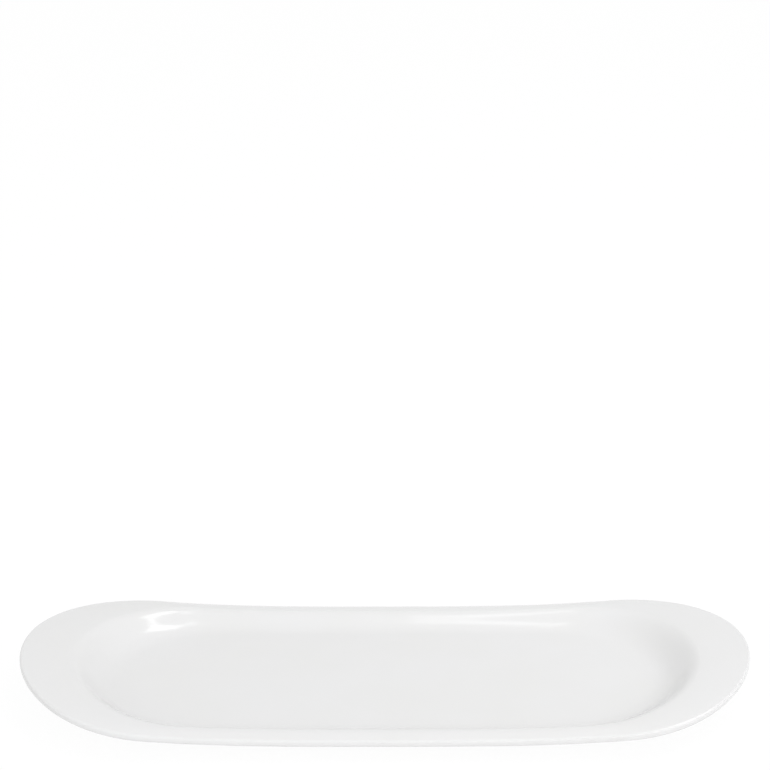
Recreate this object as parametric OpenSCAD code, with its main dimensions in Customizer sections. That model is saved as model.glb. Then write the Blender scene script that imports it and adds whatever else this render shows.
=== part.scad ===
// Asparagus plate: a long obround porcelain plate with upswept ends.
// A fired porcelain body stands on a bare foot ring. A glaze coat is fused over its face, its rim
// and its underside down to the foot, and a second glaze skin lines the recess inside the foot.
// Millimetres, +Z up. The origin is on the table, under the middle of the plate.

/* [Plate] */
// Overall length, tip to tip
plate_l = 380; // [320:1:440]
// Overall width across the long sides
plate_w = 150; // [130:1:180]
// Length of each rounded end of the plate's outline, a half ellipse
plate_end_l = 68; // [55:1:95]
// Rise of the tips above the middle of the long sides
end_lift = 14; // [4:0.5:20]
// How late the rise starts along the plate: more keeps the middle flatter
lift_power = 3.2; // [2:0.1:4]

/* [Rim] */
// Width of the rim beside the well, on the long sides
rim_side_w = 8.5; // [5:0.5:14]
// Width of the rim beyond the well, at the ends
rim_end_w = 25.5; // [15:0.5:35]
// Fall of the rim from the well's edge to its outer edge
rim_fall = 1.2; // [0:0.1:2]
// Thickness of the rim at its outer edge
rim_t = 4; // [3.4:0.1:5]
// Rounding of the rim's outer edge
lip_r = 1.6; // [0.8:0.1:1.6]

/* [Well] */
// Depth of the well under its edge, at the middle of the long sides
well_depth = 6.2; // [4:0.1:10]
// Length of each rounded end of the well's edge
well_end_l = 60; // [50:1:90]
// Width of the sloping wall on the long sides
wall_side_w = 19; // [14:0.5:24]
// Width of the sloping wall at the ends
wall_end_w = 29; // [20:0.5:36]
// Length of each rounded end of the flat floor
floor_end_l = 56; // [40:1:75]
// How late the wall turns up: 1 is an even S, more is steeper next to the rim
wall_turn = 1.6; // [1:0.1:2]
// Thickness of the floor and the wall, measured straight up
wall_t = 4.5; // [3.5:0.1:6]

/* [Foot ring] */
// Height of the foot ring under the floor
foot_h = 2.5; // [2:0.1:4]
// Distance from the floor's edge in to the outer edge of the foot's flat land
foot_inset = 7; // [4:0.5:12]
// Width of the foot ring where it meets the floor
foot_root_w = 6; // [5:0.1:8]
// Width of the flat land that the plate stands on
foot_land_w = 2.4; // [1.5:0.1:3]

/* [Glaze] */
// Thickness of the glaze
glaze_t = 0.3; // [0.2:0.05:0.5]
// Height above the table at which the glaze stops on the foot ring
glaze_line_h = 1; // [0.6:0.1:1.4]

/* [Hidden] */

// Steps along a quarter of the outline: round its end, then along its straight side
end_steps = 16;
side_steps = 6;
// Steps across each zone of the section
wall_steps = 10;
rim_steps = 2;
lip_steps = 3;
belly_steps = 6;
// How much closer the wall's steps lie near its edge, where it bends most: 1 is even
step_power = 0.6;

plate_a = plate_l / 2;
plate_b = plate_w / 2;
well_a = plate_a - rim_end_w;
well_b = plate_b - rim_side_w;
floor_a = well_a - wall_end_w;
floor_b = well_b - wall_side_w;
land_a = floor_a - foot_inset;
land_b = floor_b - foot_inset;
land_end_l = floor_end_l - foot_inset;

floor_z = foot_h + wall_t;
edge_z = floor_z + well_depth;
rim_z = edge_z - rim_fall;
flank_w = (foot_root_w - foot_land_w) / 2;
glaze_line_share = glaze_line_h / foot_h;

// A ring is one closed contour of the plate's skin: [half length, half width, end length, height,
// share of the end lift, outward part and upward part of the surface normal].
A = 0;
B = 1;
END = 2;
Z = 3;
LIFT = 4;
OUT = 5;
UP = 6;

function mix(from, to, share) = from + (to - from) * share;
function reversed(list) = [for (i = [len(list) - 1 : -1 : 0]) list[i]];
function lift_at(x) = end_lift * pow(abs(x) / plate_a, lift_power);

// A quarter of an obround outline with elliptical ends, from the tip to the middle of the side.
function quarter(a, b, end) = concat(
    [for (i = [0 : end_steps]) let (turn = 90 * i / end_steps)
        [a - end + end * cos(turn), b * sin(turn)]],
    [for (i = [1 : side_steps]) [(a - end) * (1 - i / side_steps), b]]
);

// The whole outline, mirrored from one quarter.
function outline(a, b, end) =
    let (points = quarter(a, b, end), last = len(points) - 1)
    concat(
        points,
        [for (i = [last - 1 : -1 : 0]) [-points[i][0], points[i][1]]],
        [for (i = [1 : last]) [-points[i][0], -points[i][1]]],
        [for (i = [last - 1 : -1 : 1]) [points[i][0], -points[i][1]]]
    );

function ring_points(ring) =
    [for (p = outline(ring[A], ring[B], ring[END])) [p[0], p[1], ring[Z] + ring[LIFT] * lift_at(p[0])]];

// The ring moved along its normal: into the plate for a negative distance.
function moved(ring, distance) =
    let (out = distance * ring[OUT])
    [ring[A] + out, ring[B] + out, ring[END] + out, ring[Z] + distance * ring[UP],
     ring[LIFT], ring[OUT], ring[UP]];

function all_moved(rings, distance) = [for (ring = rings) moved(ring, distance)];

// The wall's rise as a share of the well's depth, and its tilt across the long side.
function wall_rise(share) = (1 - cos(180 * pow(share, wall_turn))) / 2;
function wall_tilt(share) =
    let (turn = 180 * pow(share, wall_turn), bend = PI / 2 * wall_turn * pow(share, wall_turn - 1))
    atan(bend * sin(turn) * well_depth / wall_side_w);

// A ring of the wall, from the floor's edge, share 0, to the well's edge, share 1.
function wall_ring(share) =
    [mix(floor_a, well_a, share), mix(floor_b, well_b, share), mix(floor_end_l, well_end_l, share),
     floor_z + well_depth * wall_rise(share), wall_rise(share), -sin(wall_tilt(share)), cos(wall_tilt(share))];

// The underside of the wall, straight below the wall's own ring.
function belly_ring(share) =
    let (above = wall_ring(share))
    [above[A], above[B], above[END], above[Z] - wall_t, above[LIFT], -above[OUT], -above[UP]];

// A ring of the rim's top, from the well's edge, share 0, to the rounded lip, share 1.
function rim_ring(share) =
    [mix(well_a, plate_a - lip_r, share), mix(well_b, plate_b - lip_r, share),
     mix(well_end_l, plate_end_l - lip_r, share), edge_z - rim_fall * pow(share, 2), 1, 0, 1];

// A ring of the rounded lip, turned from straight up, 90, to straight down, -90.
function lip_ring(turn, middle_z) =
    let (out = lip_r * (cos(turn) - 1))
    [plate_a + out, plate_b + out, plate_end_l + out, middle_z + lip_r * sin(turn), 1, cos(turn), sin(turn)];

// The foot's flank spreads from the land, share 0, to its root, share 1, where it turns flat.
function flank_tilt(share) =
    let (tilt = atan(2 * flank_w * share / foot_h))
    share < 1 ? tilt : (tilt + 90) / 2;

// A ring of the foot's flank: side 1 is the flank outside the land, side -1 is the one inside it.
function flank_ring(share, side) =
    let (spread = flank_w * pow(share, 2), out = side > 0 ? spread : -foot_land_w - spread)
    [land_a + out, land_b + out, land_end_l + out, foot_h * share, 0,
     side * cos(flank_tilt(share)), -sin(flank_tilt(share))];

face_rings = concat(
    [for (i = [0 : wall_steps - 1]) wall_ring(pow(i / wall_steps, step_power))],
    [for (i = [0 : rim_steps]) rim_ring(i / rim_steps)]
);
lip_rings = concat(
    [for (i = [1 : lip_steps]) lip_ring(90 - 90 * i / lip_steps, rim_z - lip_r)],
    [for (i = [0 : lip_steps]) lip_ring(-90 * i / lip_steps, rim_z - rim_t + lip_r)]
);
belly_rings = [for (i = [belly_steps : -1 : 0]) belly_ring(pow(i / belly_steps, step_power))];
flank_shares = [1, mix(glaze_line_share, 1, 0.5), glaze_line_share];
outer_flank_rings = [for (share = flank_shares) flank_ring(share, 1)];
inner_flank_rings = [for (share = reversed(flank_shares)) flank_ring(share, -1)];
land_rings = [flank_ring(0, 1), flank_ring(0, -1)];
coat_rings = concat(face_rings, lip_rings, belly_rings, outer_flank_rings);

// A solid whose skin runs through all the rings and is closed flat over the first and the last.
// Each four-sided patch is cut from the shorter ring's earlier point to the longer ring's later one,
// whichever ring comes first, so that two solids with a skin in common meet without a gap.
module skin(rings) {
    count = len(ring_points(rings[0]));
    last = (len(rings) - 1) * count;
    points = [for (ring = rings) each ring_points(ring)];
    faces = concat(
        [[for (i = [count - 1 : -1 : 0]) i]],
        [for (row = [0 : len(rings) - 2], i = [0 : count - 1])
            let (near = row * count, far = near + count, next = (i + 1) % count)
            each rings[row][A] > rings[row + 1][A]
                ? [[near + i, near + next, far + i], [near + next, far + next, far + i]]
                : [[near + i, near + next, far + next], [near + i, far + next, far + i]]],
        [[for (i = [0 : count - 1]) last + i]]
    );
    polyhedron(points = points, faces = faces);
}

// The fired clay: everything under the glaze, and the bare land of the foot ring.
module porcelain_body() {
    color([0.92, 0.9, 0.86])
        skin(concat(all_moved(coat_rings, -glaze_t), land_rings, all_moved(inner_flank_rings, -glaze_t)));
}

// The glossy skin over the face, round the rim and down the underside to the foot ring.
module glaze_coat() {
    color([0.95, 0.95, 0.94])
        skin(concat(coat_rings, reversed(all_moved(coat_rings, -glaze_t))));
}

// The glaze inside the foot ring, cut off from the rest by the bare land.
module base_glaze() {
    color([0.94, 0.94, 0.93])
        skin(concat(reversed(all_moved(inner_flank_rings, -glaze_t)), inner_flank_rings));
}

porcelain_body();
glaze_coat();
base_glaze();
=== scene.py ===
"""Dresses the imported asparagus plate: its glaze, its bare foot ring, a pale studio and the camera.

The three pieces repeat the solids' own section and outline with many more steps, and round what the
solids leave sharp. The plate's lengths are in millimetres and become metres when a mesh is made.
Materials, lamps and the camera are in metres.
"""
import math
from collections import namedtuple

import bpy
from mathutils import Matrix, Vector
from mathutils.noise import noise as perlin


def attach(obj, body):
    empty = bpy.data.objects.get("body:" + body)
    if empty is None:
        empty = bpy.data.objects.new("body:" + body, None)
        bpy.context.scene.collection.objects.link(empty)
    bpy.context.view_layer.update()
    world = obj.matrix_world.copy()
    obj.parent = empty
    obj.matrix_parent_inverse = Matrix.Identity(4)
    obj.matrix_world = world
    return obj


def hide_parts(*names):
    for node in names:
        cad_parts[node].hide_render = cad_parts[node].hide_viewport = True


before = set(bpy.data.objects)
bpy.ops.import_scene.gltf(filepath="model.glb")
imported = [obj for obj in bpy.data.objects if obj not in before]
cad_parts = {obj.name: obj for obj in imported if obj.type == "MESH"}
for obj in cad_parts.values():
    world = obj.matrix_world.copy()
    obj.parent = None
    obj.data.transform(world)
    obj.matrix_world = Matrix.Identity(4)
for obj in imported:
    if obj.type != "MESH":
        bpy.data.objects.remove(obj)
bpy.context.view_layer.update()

MM = 0.001
QUARTER_TURN = math.pi / 2

# The plate, as its solids have it
PLATE_L, PLATE_W, PLATE_END_L = 380, 150, 68
END_LIFT, LIFT_POWER = 14, 3.2
RIM_SIDE_W, RIM_END_W, RIM_FALL, RIM_T, LIP_R = 8.5, 25.5, 1.2, 4, 1.6
WELL_DEPTH, WELL_END_L = 6.2, 60
WALL_SIDE_W, WALL_END_W, FLOOR_END_L, WALL_TURN, WALL_T = 19, 29, 56, 1.6, 4.5
FOOT_H, FOOT_INSET, FOOT_ROOT_W, FOOT_LAND_W = 2.5, 7, 6, 2.4
GLAZE_T, GLAZE_LINE_H = 0.3, 1

# Steps along a quarter of the outline: round its end, then along its straight side
END_STEPS, SIDE_STEPS = 52, 20
# Steps across each zone of the section
FLOOR_STEPS, WALL_STEPS, RIM_STEPS, LIP_STEPS, UNDER_STEPS, BELLY_STEPS = 20, 44, 12, 8, 8, 20
FLAT_STEPS, FILLET_STEPS, FLANK_STEPS, ROLL_STEPS, LAND_STEPS = 3, 6, 5, 4, 3
# How much closer the wall's steps lie near its edge: 1 is even
STEP_POWER = 0.6
# The hidden skins keep every so many rings
HIDDEN_STRIDE = 4
# Where the foot's flank starts to turn into the underside, as a share of its height
FILLET_SHARE = 0.8
# How far that fillet goes on past the foot's root
FILLET_REACH = 1.5
# Rounding of the bare land's two edges
LAND_R = 0.25
# The glaze eases the bends of the face by a bell-shaped average across the section: its reach, how
# many reaches it spans to each side, its samples there, and how many reaches it stays off the lip
EASE, EASE_SPAN, EASE_STEPS, EASE_MARGIN = 0.9, 2.5, 8, 3
# Size and height of the slow waves that firing leaves
WAVE_SIZE, WAVE_H = 19, 0.12

PLATE_A, PLATE_B = PLATE_L / 2, PLATE_W / 2
WELL_A, WELL_B = PLATE_A - RIM_END_W, PLATE_B - RIM_SIDE_W
FLOOR_A, FLOOR_B = WELL_A - WALL_END_W, WELL_B - WALL_SIDE_W
LAND_A, LAND_B, LAND_END_L = FLOOR_A - FOOT_INSET, FLOOR_B - FOOT_INSET, FLOOR_END_L - FOOT_INSET
RIM_B = PLATE_B - LIP_R
FLOOR_Z = FOOT_H + WALL_T
EDGE_Z = FLOOR_Z + WELL_DEPTH
RIM_Z = EDGE_Z - RIM_FALL
FLANK_W = (FOOT_ROOT_W - FOOT_LAND_W) / 2
GLAZE_LINE_SHARE = GLAZE_LINE_H / FOOT_H

# One closed contour of the plate's skin: its half length, its half width, the length of its rounded
# ends, its height, and the share of the end lift that it takes
Ring = namedtuple("Ring", "a b end z lift")


def mix(start, stop, share):
    return start + (stop - start) * share


def smooth(share):
    return share * share * (3 - 2 * share)


def blend_rings(start, stop, share):
    return Ring(*(mix(x, y, share) for x, y in zip(start, stop)))


def shifted(ring, out, up=0):
    """The ring grown outwards, or shrunk where out is negative, and raised."""
    return ring._replace(a=ring.a + out, b=ring.b + out, end=ring.end + out, z=ring.z + up)


def lift_at(x):
    return END_LIFT * abs(x / PLATE_A) ** LIFT_POWER


def outline(ring):
    """The contour's points from the right tip, round the back, with elliptical ends and straight sides."""
    quarter = []
    for i in range(END_STEPS + 1):
        turn = QUARTER_TURN * i / END_STEPS
        quarter.append((ring.a - ring.end + ring.end * math.cos(turn), ring.b * math.sin(turn)))
    for i in range(1, SIDE_STEPS + 1):
        quarter.append(((ring.a - ring.end) * (1 - i / SIDE_STEPS), ring.b))
    half = quarter + [(-x, y) for x, y in quarter[-2::-1]]
    return half + [(x, -y) for x, y in half[-2:0:-1]]


def ring_points(ring):
    """The contour's points in metres. The foot stays flat, and what is above it has the waves of firing."""
    steady = smooth(min(max((ring.z - FOOT_H) / WALL_T, 0), 1))
    points = []
    for x, y in outline(ring):
        wave = WAVE_H * steady * perlin(Vector((x, y, 0)) / WAVE_SIZE)
        points.append(Vector((x, y, ring.z + ring.lift * lift_at(x) + wave)) * MM)
    return points


def wall_rise(share):
    return (1 - math.cos(math.pi * share**WALL_TURN)) / 2


def floor_ring(share):
    """A ring of the flat floor, from near the middle to the floor's edge, share 1."""
    return Ring(FLOOR_A * share, FLOOR_B * share, FLOOR_END_L * share, FLOOR_Z, 0)


def wall_ring(share):
    """A ring of the wall, from the floor's edge, share 0, to the well's edge, share 1."""
    rise = wall_rise(share)
    floor_edge = Ring(FLOOR_A, FLOOR_B, FLOOR_END_L, 0, 0)
    well_edge = Ring(WELL_A, WELL_B, WELL_END_L, 0, 0)
    return blend_rings(floor_edge, well_edge, share)._replace(z=FLOOR_Z + WELL_DEPTH * rise, lift=rise)


def rim_ring(share):
    """A ring of the rim's top, from the well's edge, share 0, to the rounded lip, share 1."""
    well_edge = Ring(WELL_A, WELL_B, WELL_END_L, 0, 1)
    rim_edge = shifted(Ring(PLATE_A, PLATE_B, PLATE_END_L, 0, 1), -LIP_R)
    return blend_rings(well_edge, rim_edge, share)._replace(z=EDGE_Z - RIM_FALL * share**2)


def section(b):
    """Height and share of the end lift of the face at a half width, before its bends are eased."""
    if b <= FLOOR_B:
        return FLOOR_Z, 0
    if b <= WELL_B:
        ring = wall_ring((b - FLOOR_B) / WALL_SIDE_W)
    else:
        ring = rim_ring((b - WELL_B) / (RIM_B - WELL_B))
    return ring.z, ring.lift


def eased(ring):
    """The ring with its height and lift averaged across the section, less and less towards the lip."""
    reach = min(EASE, (RIM_B - ring.b) / EASE_MARGIN)
    total, height, lift = 0, 0, 0
    for i in range(-EASE_STEPS, EASE_STEPS + 1):
        offset = EASE_SPAN * i / EASE_STEPS
        weight = math.exp(-offset * offset / 2)
        z, share = section(ring.b + offset * reach)
        total, height, lift = total + weight, height + weight * z, lift + weight * share
    return ring._replace(z=height / total, lift=lift / total)


def lip_ring(turn, middle_z):
    """A ring of the rounded lip, turned from straight up, a quarter turn, to straight down."""
    tip = Ring(PLATE_A, PLATE_B, PLATE_END_L, middle_z, 1)
    return shifted(tip, LIP_R * (math.cos(turn) - 1), LIP_R * math.sin(turn))


def belly_ring(share):
    """A ring of the underside, straight below the wall's own ring."""
    return shifted(wall_ring(share), 0, -WALL_T)


def flank_ring(share, side):
    """A ring of the foot's flank, from the land to the root: side 1 outside the land, side -1 inside it."""
    land = Ring(LAND_A, LAND_B, LAND_END_L, 0, 0)
    spread = FLANK_W * share**2
    out = spread if side > 0 else -FOOT_LAND_W - spread
    return shifted(land, out, FOOT_H * share)


def fillet_rings(side):
    """Rings that turn the flank smoothly into the flat underside, from the flank to the flat."""
    start = flank_ring(FILLET_SHARE, side)
    rise = FOOT_H - start.z
    run = 2 * FLANK_W * FILLET_SHARE * (1 - FILLET_SHARE)
    reach = FLANK_W * (1 - FILLET_SHARE**2) + FILLET_REACH
    corner, stop = shifted(start, side * run, rise), shifted(start, side * reach, rise)
    rings = []
    for i in range(FILLET_STEPS + 1):
        share = i / FILLET_STEPS
        rings.append(blend_rings(blend_rings(start, corner, share), blend_rings(corner, stop, share), share))
    return rings


def flank_rings(side):
    """Rings down the flank, from under its fillet to the glaze line."""
    shares = [mix(FILLET_SHARE, GLAZE_LINE_SHARE, i / FLANK_STEPS) for i in range(1, FLANK_STEPS + 1)]
    return [flank_ring(share, side) for share in shares]


def land_rings():
    """Rings of the bare land: its rounded outer edge, then its rounded inner edge."""
    rounding = []
    for i in range(LAND_STEPS + 1):
        turn = QUARTER_TURN * i / LAND_STEPS
        rounding.append((LAND_R * (1 - math.cos(turn)), LAND_R * (1 - math.sin(turn))))
    outer, inner = flank_ring(0, 1), flank_ring(0, -1)
    outer_edge = [shifted(outer, -run, up) for run, up in rounding]
    inner_edge = [shifted(inner, run, up) for run, up in rounding]
    return outer_edge + inner_edge[::-1]


def face_rings():
    """The glazed skin, from the middle of the floor over the rim and under the plate to the glaze line."""
    rings = [floor_ring(i / FLOOR_STEPS) for i in range(1, FLOOR_STEPS)]
    rings += [wall_ring((i / WALL_STEPS) ** STEP_POWER) for i in range(WALL_STEPS)]
    rings += [rim_ring(i / RIM_STEPS) for i in range(RIM_STEPS + 1)]
    rings = [eased(ring) for ring in rings]
    rings += [lip_ring(QUARTER_TURN * (1 - i / LIP_STEPS), RIM_Z - LIP_R) for i in range(1, LIP_STEPS + 1)]
    rings += [lip_ring(-QUARTER_TURN * i / LIP_STEPS, RIM_Z - RIM_T + LIP_R) for i in range(LIP_STEPS + 1)]
    lip_foot, belly_top = rings[-1], belly_ring(1)
    for i in range(1, UNDER_STEPS):
        ring = blend_rings(lip_foot, belly_top, i / UNDER_STEPS)
        rings.append(ring._replace(z=mix(lip_foot.z, belly_top.z, smooth(i / UNDER_STEPS))))
    rings += [belly_ring((1 - i / BELLY_STEPS) ** STEP_POWER) for i in range(BELLY_STEPS + 1)]
    flat_start, fillet = rings[-1], fillet_rings(1)[::-1]
    rings += [blend_rings(flat_start, fillet[0], i / FLAT_STEPS) for i in range(1, FLAT_STEPS)]
    return rings + fillet + flank_rings(1)


def base_rings():
    """The skin inside the foot ring, from the glaze line up the inner flank to the middle of the recess."""
    rings = flank_rings(-1)[::-1] + fillet_rings(-1)
    edge = rings[-1]
    for i in range(1, FLOOR_STEPS):
        share = 1 - i / FLOOR_STEPS
        rings.append(Ring(edge.a * share, edge.b * share, edge.end * share, FOOT_H, 0))
    return rings


def normals(rings):
    """Each ring's normal across the long side, as a step out and a step up."""
    found = []
    for i in range(len(rings)):
        before, after = rings[max(i - 1, 0)], rings[min(i + 1, len(rings) - 1)]
        run, rise = after.b - before.b, after.z - before.z
        length = math.hypot(run, rise)
        found.append((-rise / length, run / length))
    return found


def moved(rings, distance):
    """The rings moved along their normals: into the plate for a negative distance."""
    return [shifted(ring, out * distance, up * distance) for ring, (out, up) in zip(rings, normals(rings))]


def rolled_edge(rings):
    """Rings that round the glaze's end from the last ring of its skin down to the clay under it."""
    out, up = normals(rings)[-1]
    rolled = []
    for i in range(1, ROLL_STEPS + 1):
        turn = QUARTER_TURN * i / ROLL_STEPS
        along, under = GLAZE_T * math.sin(turn), GLAZE_T * (1 - math.cos(turn))
        rolled.append(shifted(rings[-1], up * along - out * under, -out * along - up * under))
    return rolled


def thinned(rings):
    return [ring for i, ring in enumerate(rings) if i % HIDDEN_STRIDE == 0 or i == len(rings) - 1]


def add_object(name, data):
    piece = bpy.data.objects.new(name, data)
    bpy.context.scene.collection.objects.link(piece)
    return piece


def loft(name, rings):
    """A closed solid: a smooth skin through the rings, which closes to a point at both ends."""
    contours = [ring_points(ring) for ring in rings]
    count = len(contours[0])
    vertices = [point for contour in contours for point in contour]
    faces = []
    for row in range(len(contours) - 1):
        near, far = row * count, (row + 1) * count
        for i in range(count):
            following = (i + 1) % count
            faces.append((far + i, far + following, near + following, near + i))
    last, start, end = (len(contours) - 1) * count, len(vertices), len(vertices) + 1
    for contour in (contours[0], contours[-1]):
        vertices.append(sum(contour, Vector()) / count)
    for i in range(count):
        following = (i + 1) % count
        faces.append((start, i, following))
        faces.append((end, last + following, last + i))
    mesh = bpy.data.meshes.new(name)
    mesh.from_pydata(vertices, [], faces)
    mesh.update()
    mesh.shade_smooth()
    return add_object(name, mesh)


face, base = face_rings(), base_rings()
face_under, base_under = moved(face, -GLAZE_T), moved(base, -GLAZE_T)
face_edge, base_edge = rolled_edge(face), rolled_edge(base[::-1])[::-1]

glaze_skin = loft("glaze_skin", face + face_edge + thinned(face_under)[::-1])
base_skin = loft("base_glaze_skin", thinned(base_under)[::-1] + base_edge + base)
clay = loft("foot_clay", thinned(face_under) + land_rings() + thinned(base_under))

for piece, node, slot in (
    (glaze_skin, "glaze_coat", "glaze"),
    (base_skin, "base_glaze", "glaze"),
    (clay, "porcelain_body", "fired_clay"),
):
    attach(piece, "root")
    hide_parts(node)

# Noise scales are in cells a metre. The middle of a noise's values is stretched over the whole range
NOISE_MIDDLE = (0.3, 0.7)
# The glaze: its refraction, where it runs thin, its fine gloss and its skin
GLAZE_IOR = 1.52
THIN_SCALE, THIN_MIDDLE = 22, (0.35, 0.75)
GLOSS_SCALE = 240
SKIN_SCALE, SKIN_H = 900, 0.0000015
FACE_COLOUR, FACE_THIN_COLOUR, FACE_ROUGHNESS = (0.798, 0.798, 0.8), (0.79, 0.789, 0.785), (0.09, 0.14)
RECESS_COLOUR, RECESS_THIN_COLOUR, RECESS_ROUGHNESS = (0.79, 0.79, 0.79), (0.775, 0.773, 0.765), (0.14, 0.22)
# The bare clay: its two tones, its iron specks and its grain
CLAY_COLOUR, CLAY_PALE_COLOUR, CLAY_ROUGHNESS = (0.80, 0.76, 0.70), (0.86, 0.83, 0.78), 0.85
TONE_SCALE = 130
SPECK_COLOUR, SPECK_SCALE, SPECK_EDGE = (0.34, 0.27, 0.2), 420, (0.06, 0.14)
GRAIN_SCALE, GRAIN_ROUGHNESS, GRAIN_STRENGTH, GRAIN_H = 2600, 0.7, 0.6, 0.00004


def new_material(name):
    material = bpy.data.materials.new(name)
    material.use_nodes = True
    tree = material.node_tree
    tree.nodes.clear()
    return material, tree.nodes, tree.links


def cloudy(nodes, links, coordinates, scale, detail, roughness=0.5):
    node = nodes.new("ShaderNodeTexNoise")
    node.inputs["Scale"].default_value = scale
    node.inputs["Detail"].default_value = detail
    node.inputs["Roughness"].default_value = roughness
    links.new(coordinates, node.inputs["Vector"])
    return node.outputs["Fac"]


def mapped(nodes, links, value, source, target=(0, 1)):
    """The value with its source range stretched over the target range."""
    node = nodes.new("ShaderNodeMapRange")
    node.inputs["From Min"].default_value, node.inputs["From Max"].default_value = source
    node.inputs["To Min"].default_value, node.inputs["To Max"].default_value = target
    links.new(value, node.inputs["Value"])
    return node.outputs["Result"]


def mixed_colour(nodes, links, factor, first, second):
    """The first colour, a tuple or a socket, turned into the second one as the factor goes from 0 to 1."""
    node = nodes.new("ShaderNodeMix")
    node.data_type = "RGBA"
    links.new(factor, node.inputs["Factor"])
    for socket, colour in (("A", first), ("B", second)):
        target = next(s for s in node.inputs if s.name == socket and s.type == "RGBA")
        if isinstance(colour, tuple):
            target.default_value = (*colour, 1)
        else:
            links.new(colour, target)
    return next(s for s in node.outputs if s.type == "RGBA")


def bump(nodes, links, height, distance, strength=1):
    node = nodes.new("ShaderNodeBump")
    node.inputs["Strength"].default_value = strength
    node.inputs["Distance"].default_value = distance
    links.new(height, node.inputs["Height"])
    return node.outputs["Normal"]


def surface_material(name):
    """A material with a Principled shader as its surface, and the object's own coordinates."""
    material, nodes, links = new_material(name)
    shader = nodes.new("ShaderNodeBsdfPrincipled")
    output = nodes.new("ShaderNodeOutputMaterial")
    links.new(shader.outputs["BSDF"], output.inputs["Surface"])
    place = nodes.new("ShaderNodeTexCoord").outputs["Object"]
    return material, nodes, links, shader.inputs, place


def glaze_material(name, colour, thin_colour, roughness):
    """Clear glaze over white porcelain: uneven gloss, a fine skin and another tone where it runs thin."""
    material, nodes, links, inputs, place = surface_material(name)
    thin = mapped(nodes, links, cloudy(nodes, links, place, THIN_SCALE, detail=2), THIN_MIDDLE)
    links.new(mixed_colour(nodes, links, thin, colour, thin_colour), inputs["Base Color"])
    fine = cloudy(nodes, links, place, GLOSS_SCALE, detail=3)
    links.new(mapped(nodes, links, fine, NOISE_MIDDLE, roughness), inputs["Roughness"])
    inputs["IOR"].default_value = GLAZE_IOR
    skin = cloudy(nodes, links, place, SKIN_SCALE, detail=2)
    links.new(bump(nodes, links, skin, SKIN_H), inputs["Normal"])
    return material


def clay_material(name):
    """Bare fired clay: matt and faintly cream, with grain and a few iron specks."""
    material, nodes, links, inputs, place = surface_material(name)
    tone = mapped(nodes, links, cloudy(nodes, links, place, TONE_SCALE, detail=4), NOISE_MIDDLE)
    ground = mixed_colour(nodes, links, tone, CLAY_COLOUR, CLAY_PALE_COLOUR)
    specks = nodes.new("ShaderNodeTexVoronoi")
    specks.inputs["Scale"].default_value = SPECK_SCALE
    links.new(place, specks.inputs["Vector"])
    speck = mapped(nodes, links, specks.outputs["Distance"], SPECK_EDGE, (1, 0))
    links.new(mixed_colour(nodes, links, speck, ground, SPECK_COLOUR), inputs["Base Color"])
    inputs["Roughness"].default_value = CLAY_ROUGHNESS
    grain = cloudy(nodes, links, place, GRAIN_SCALE, detail=3, roughness=GRAIN_ROUGHNESS)
    links.new(bump(nodes, links, grain, GRAIN_H, GRAIN_STRENGTH), inputs["Normal"])
    return material


for piece, material in (
    (glaze_skin, glaze_material("white_glaze", FACE_COLOUR, FACE_THIN_COLOUR, FACE_ROUGHNESS)),
    (base_skin, glaze_material("recess_glaze", RECESS_COLOUR, RECESS_THIN_COLOUR, RECESS_ROUGHNESS)),
    (clay, clay_material("bare_clay")),
):
    piece.data.materials.append(material)

# The camera: its distance, the height of view, its turn and roll, the pixels that a metre fills at that
# distance, and where the plate's middle lies in the picture
IMAGE_PX = 770
CAMERA_D = 1.3
CAMERA_EL, CAMERA_YAW, CAMERA_ROLL = math.radians(27.95), math.radians(0.25), math.radians(0.2)
PX_PER_M = 1895
TARGET = Vector((0, 0, 0.012))
TARGET_PX = (386.3, 669.6)
SENSOR_W_MM = 36
CLIP_NEAR, CLIP_FAR = 0.05, 50


def add_camera():
    """The camera looks at the target and is then turned, so that the target lies off the picture's middle."""
    focal_px = PX_PER_M * CAMERA_D
    level = math.cos(CAMERA_EL)
    back = Vector((math.sin(CAMERA_YAW) * level, -math.cos(CAMERA_YAW) * level, math.sin(CAMERA_EL)))
    forward = -back
    right = forward.cross(Vector((0, 0, 1))).normalized()
    up = right.cross(forward)
    pitch = Matrix.Rotation(math.atan2(TARGET_PX[1] - IMAGE_PX / 2, focal_px), 3, right)
    forward, up = pitch @ forward, pitch @ up
    turn = Matrix.Rotation(math.atan2(IMAGE_PX / 2 - TARGET_PX[0], focal_px), 3, up)
    forward, right = turn @ forward, turn @ right
    roll = Matrix.Rotation(CAMERA_ROLL, 3, forward)
    up, right = roll @ up, roll @ right
    data = bpy.data.cameras.new("camera")
    data.sensor_width = SENSOR_W_MM
    data.lens = focal_px / IMAGE_PX * SENSOR_W_MM
    data.clip_start, data.clip_end = CLIP_NEAR, CLIP_FAR
    camera = add_object("camera", data)
    facing = Matrix((right, up, -forward)).transposed().to_4x4()
    camera.matrix_world = Matrix.Translation(TARGET + back * CAMERA_D) @ facing
    bpy.context.scene.camera = camera


def area_light(name, place, aim, size, power, mirrored=True):
    """A soft box, in metres and watts. If not mirrored, it lights the glaze but isn't seen in its gloss."""
    data = bpy.data.lights.new(name, "AREA")
    data.shape = "RECTANGLE"
    data.size, data.size_y = size
    data.energy = power
    light = add_object(name, data)
    light.location = place
    light.rotation_mode = "QUATERNION"
    light.rotation_quaternion = (Vector(aim) - Vector(place)).to_track_quat("-Z", "Y")
    light.visible_camera = False
    light.visible_glossy = mirrored


add_camera()

PLATE_MIDDLE = (0, 0, 0)
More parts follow.
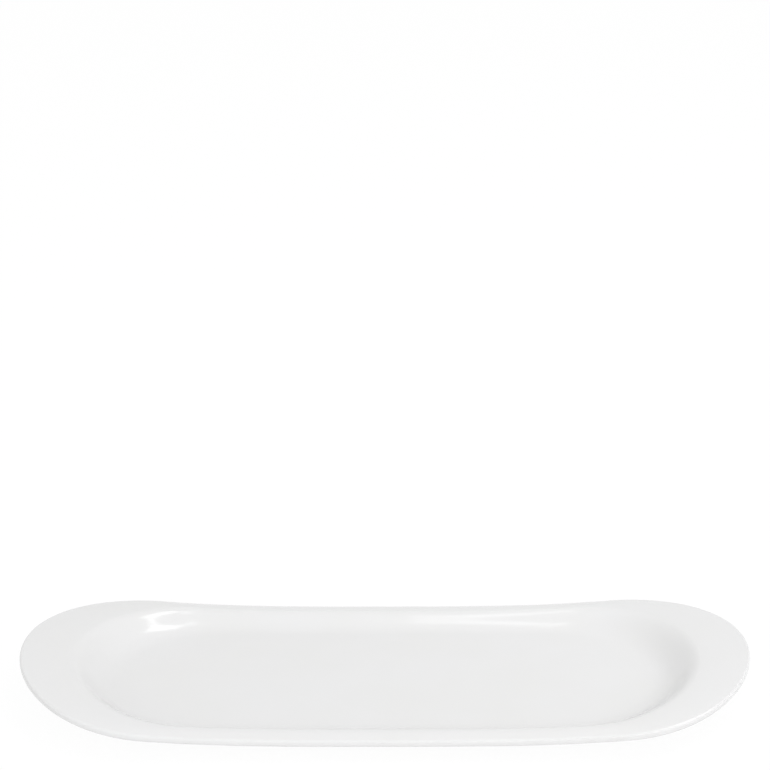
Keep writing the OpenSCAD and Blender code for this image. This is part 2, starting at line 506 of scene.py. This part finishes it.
# These three show in the gloss of the face and of the walls
area_light("key_box", place=(0.675, -0.17, 1.157), aim=PLATE_MIDDLE, size=(0.7, 0.56), power=3.3)
area_light("corner_box", place=(0.48, 0.39, 1.7), aim=(0.48, 0.39, 0), size=(0.58, 0.36), power=2.25)
area_light("strip", place=(0.11, 0.1, 1.7), aim=(0.11, 0.1, 0), size=(0.15, 0.26), power=0.25)
# Seen from behind, the mirror images of the boxes in front would turn the pale face to plain white
FRONT_SIZE = (1.2, 0.8)
area_light("front_left_box", (-0.96, -1.37, 0.89), PLATE_MIDDLE, FRONT_SIZE, power=5, mirrored=False)
area_light("front_right_box", (0.96, -1.37, 0.89), PLATE_MIDDLE, FRONT_SIZE, power=6.5, mirrored=False)
area_light("low_front_box", (0, -1.86, 0.4), PLATE_MIDDLE, size=(1.6, 0.5), power=1.2, mirrored=False)

WHITE = (1, 1, 1, 1)
# Light from all round, and the plain white that is seen there
FILL_STRENGTH, SEEN_STRENGTH = 0.665, 1
# The table reaches past the picture. It is seen as this share of an even glow, and the rest keeps the shadow
TABLE_REACH = 6
TABLE_COLOUR = (0.9, 0.9, 0.9, 1)
TABLE_GLOW, TABLE_GLOW_SHARE = 1.02, 0.93


def seen_directly(nodes, links):
    """1 for rays from the camera, a mirror or glass, which see the white studio, and 0 for light."""
    path = nodes.new("ShaderNodeLightPath")
    seen = path.outputs["Is Camera Ray"]
    for name in ("Is Glossy Ray", "Is Transmission Ray"):
        node = nodes.new("ShaderNodeMath")
        node.operation = "MAXIMUM"
        links.new(seen, node.inputs[0])
        links.new(path.outputs[name], node.inputs[1])
        seen = node.outputs[0]
    return seen


def mixed_shader(nodes, links, first, second):
    node = nodes.new("ShaderNodeMixShader")
    links.new(first.outputs[0], node.inputs[1])
    links.new(second.outputs[0], node.inputs[2])
    return node


def background(nodes, strength):
    node = nodes.new("ShaderNodeBackground")
    node.inputs["Color"].default_value = WHITE
    node.inputs["Strength"].default_value = strength
    return node


def add_world():
    world = bpy.data.worlds.new("studio")
    world.use_nodes = True
    bpy.context.scene.world = world
    nodes, links = world.node_tree.nodes, world.node_tree.links
    nodes.clear()
    fill, white = background(nodes, FILL_STRENGTH), background(nodes, SEEN_STRENGTH)
    choice = mixed_shader(nodes, links, fill, white)
    links.new(seen_directly(nodes, links), choice.inputs["Fac"])
    links.new(choice.outputs[0], nodes.new("ShaderNodeOutputWorld").inputs["Surface"])


def table_material():
    """Matt white for light. What sees it directly finds it nearly all glow, with a faint shadow."""
    material, nodes, links = new_material("table_white")
    matt, glow = nodes.new("ShaderNodeBsdfDiffuse"), nodes.new("ShaderNodeEmission")
    matt.inputs["Color"].default_value = TABLE_COLOUR
    glow.inputs["Strength"].default_value = TABLE_GLOW
    glowing = mixed_shader(nodes, links, matt, glow)
    glowing.inputs["Fac"].default_value = TABLE_GLOW_SHARE
    choice = mixed_shader(nodes, links, matt, glowing)
    links.new(seen_directly(nodes, links), choice.inputs["Fac"])
    links.new(choice.outputs[0], nodes.new("ShaderNodeOutputMaterial").inputs["Surface"])
    return material


def add_table():
    mesh = bpy.data.meshes.new("table")
    corners = [(TABLE_REACH * x, TABLE_REACH * y, 0) for x, y in ((-1, -1), (1, -1), (1, 1), (-1, 1))]
    mesh.from_pydata(corners, [], [(0, 1, 2, 3)])
    mesh.materials.append(table_material())
    return add_object("table", mesh)


add_world()
table = add_table()

bpy.context.scene.view_settings.view_transform = "Standard"
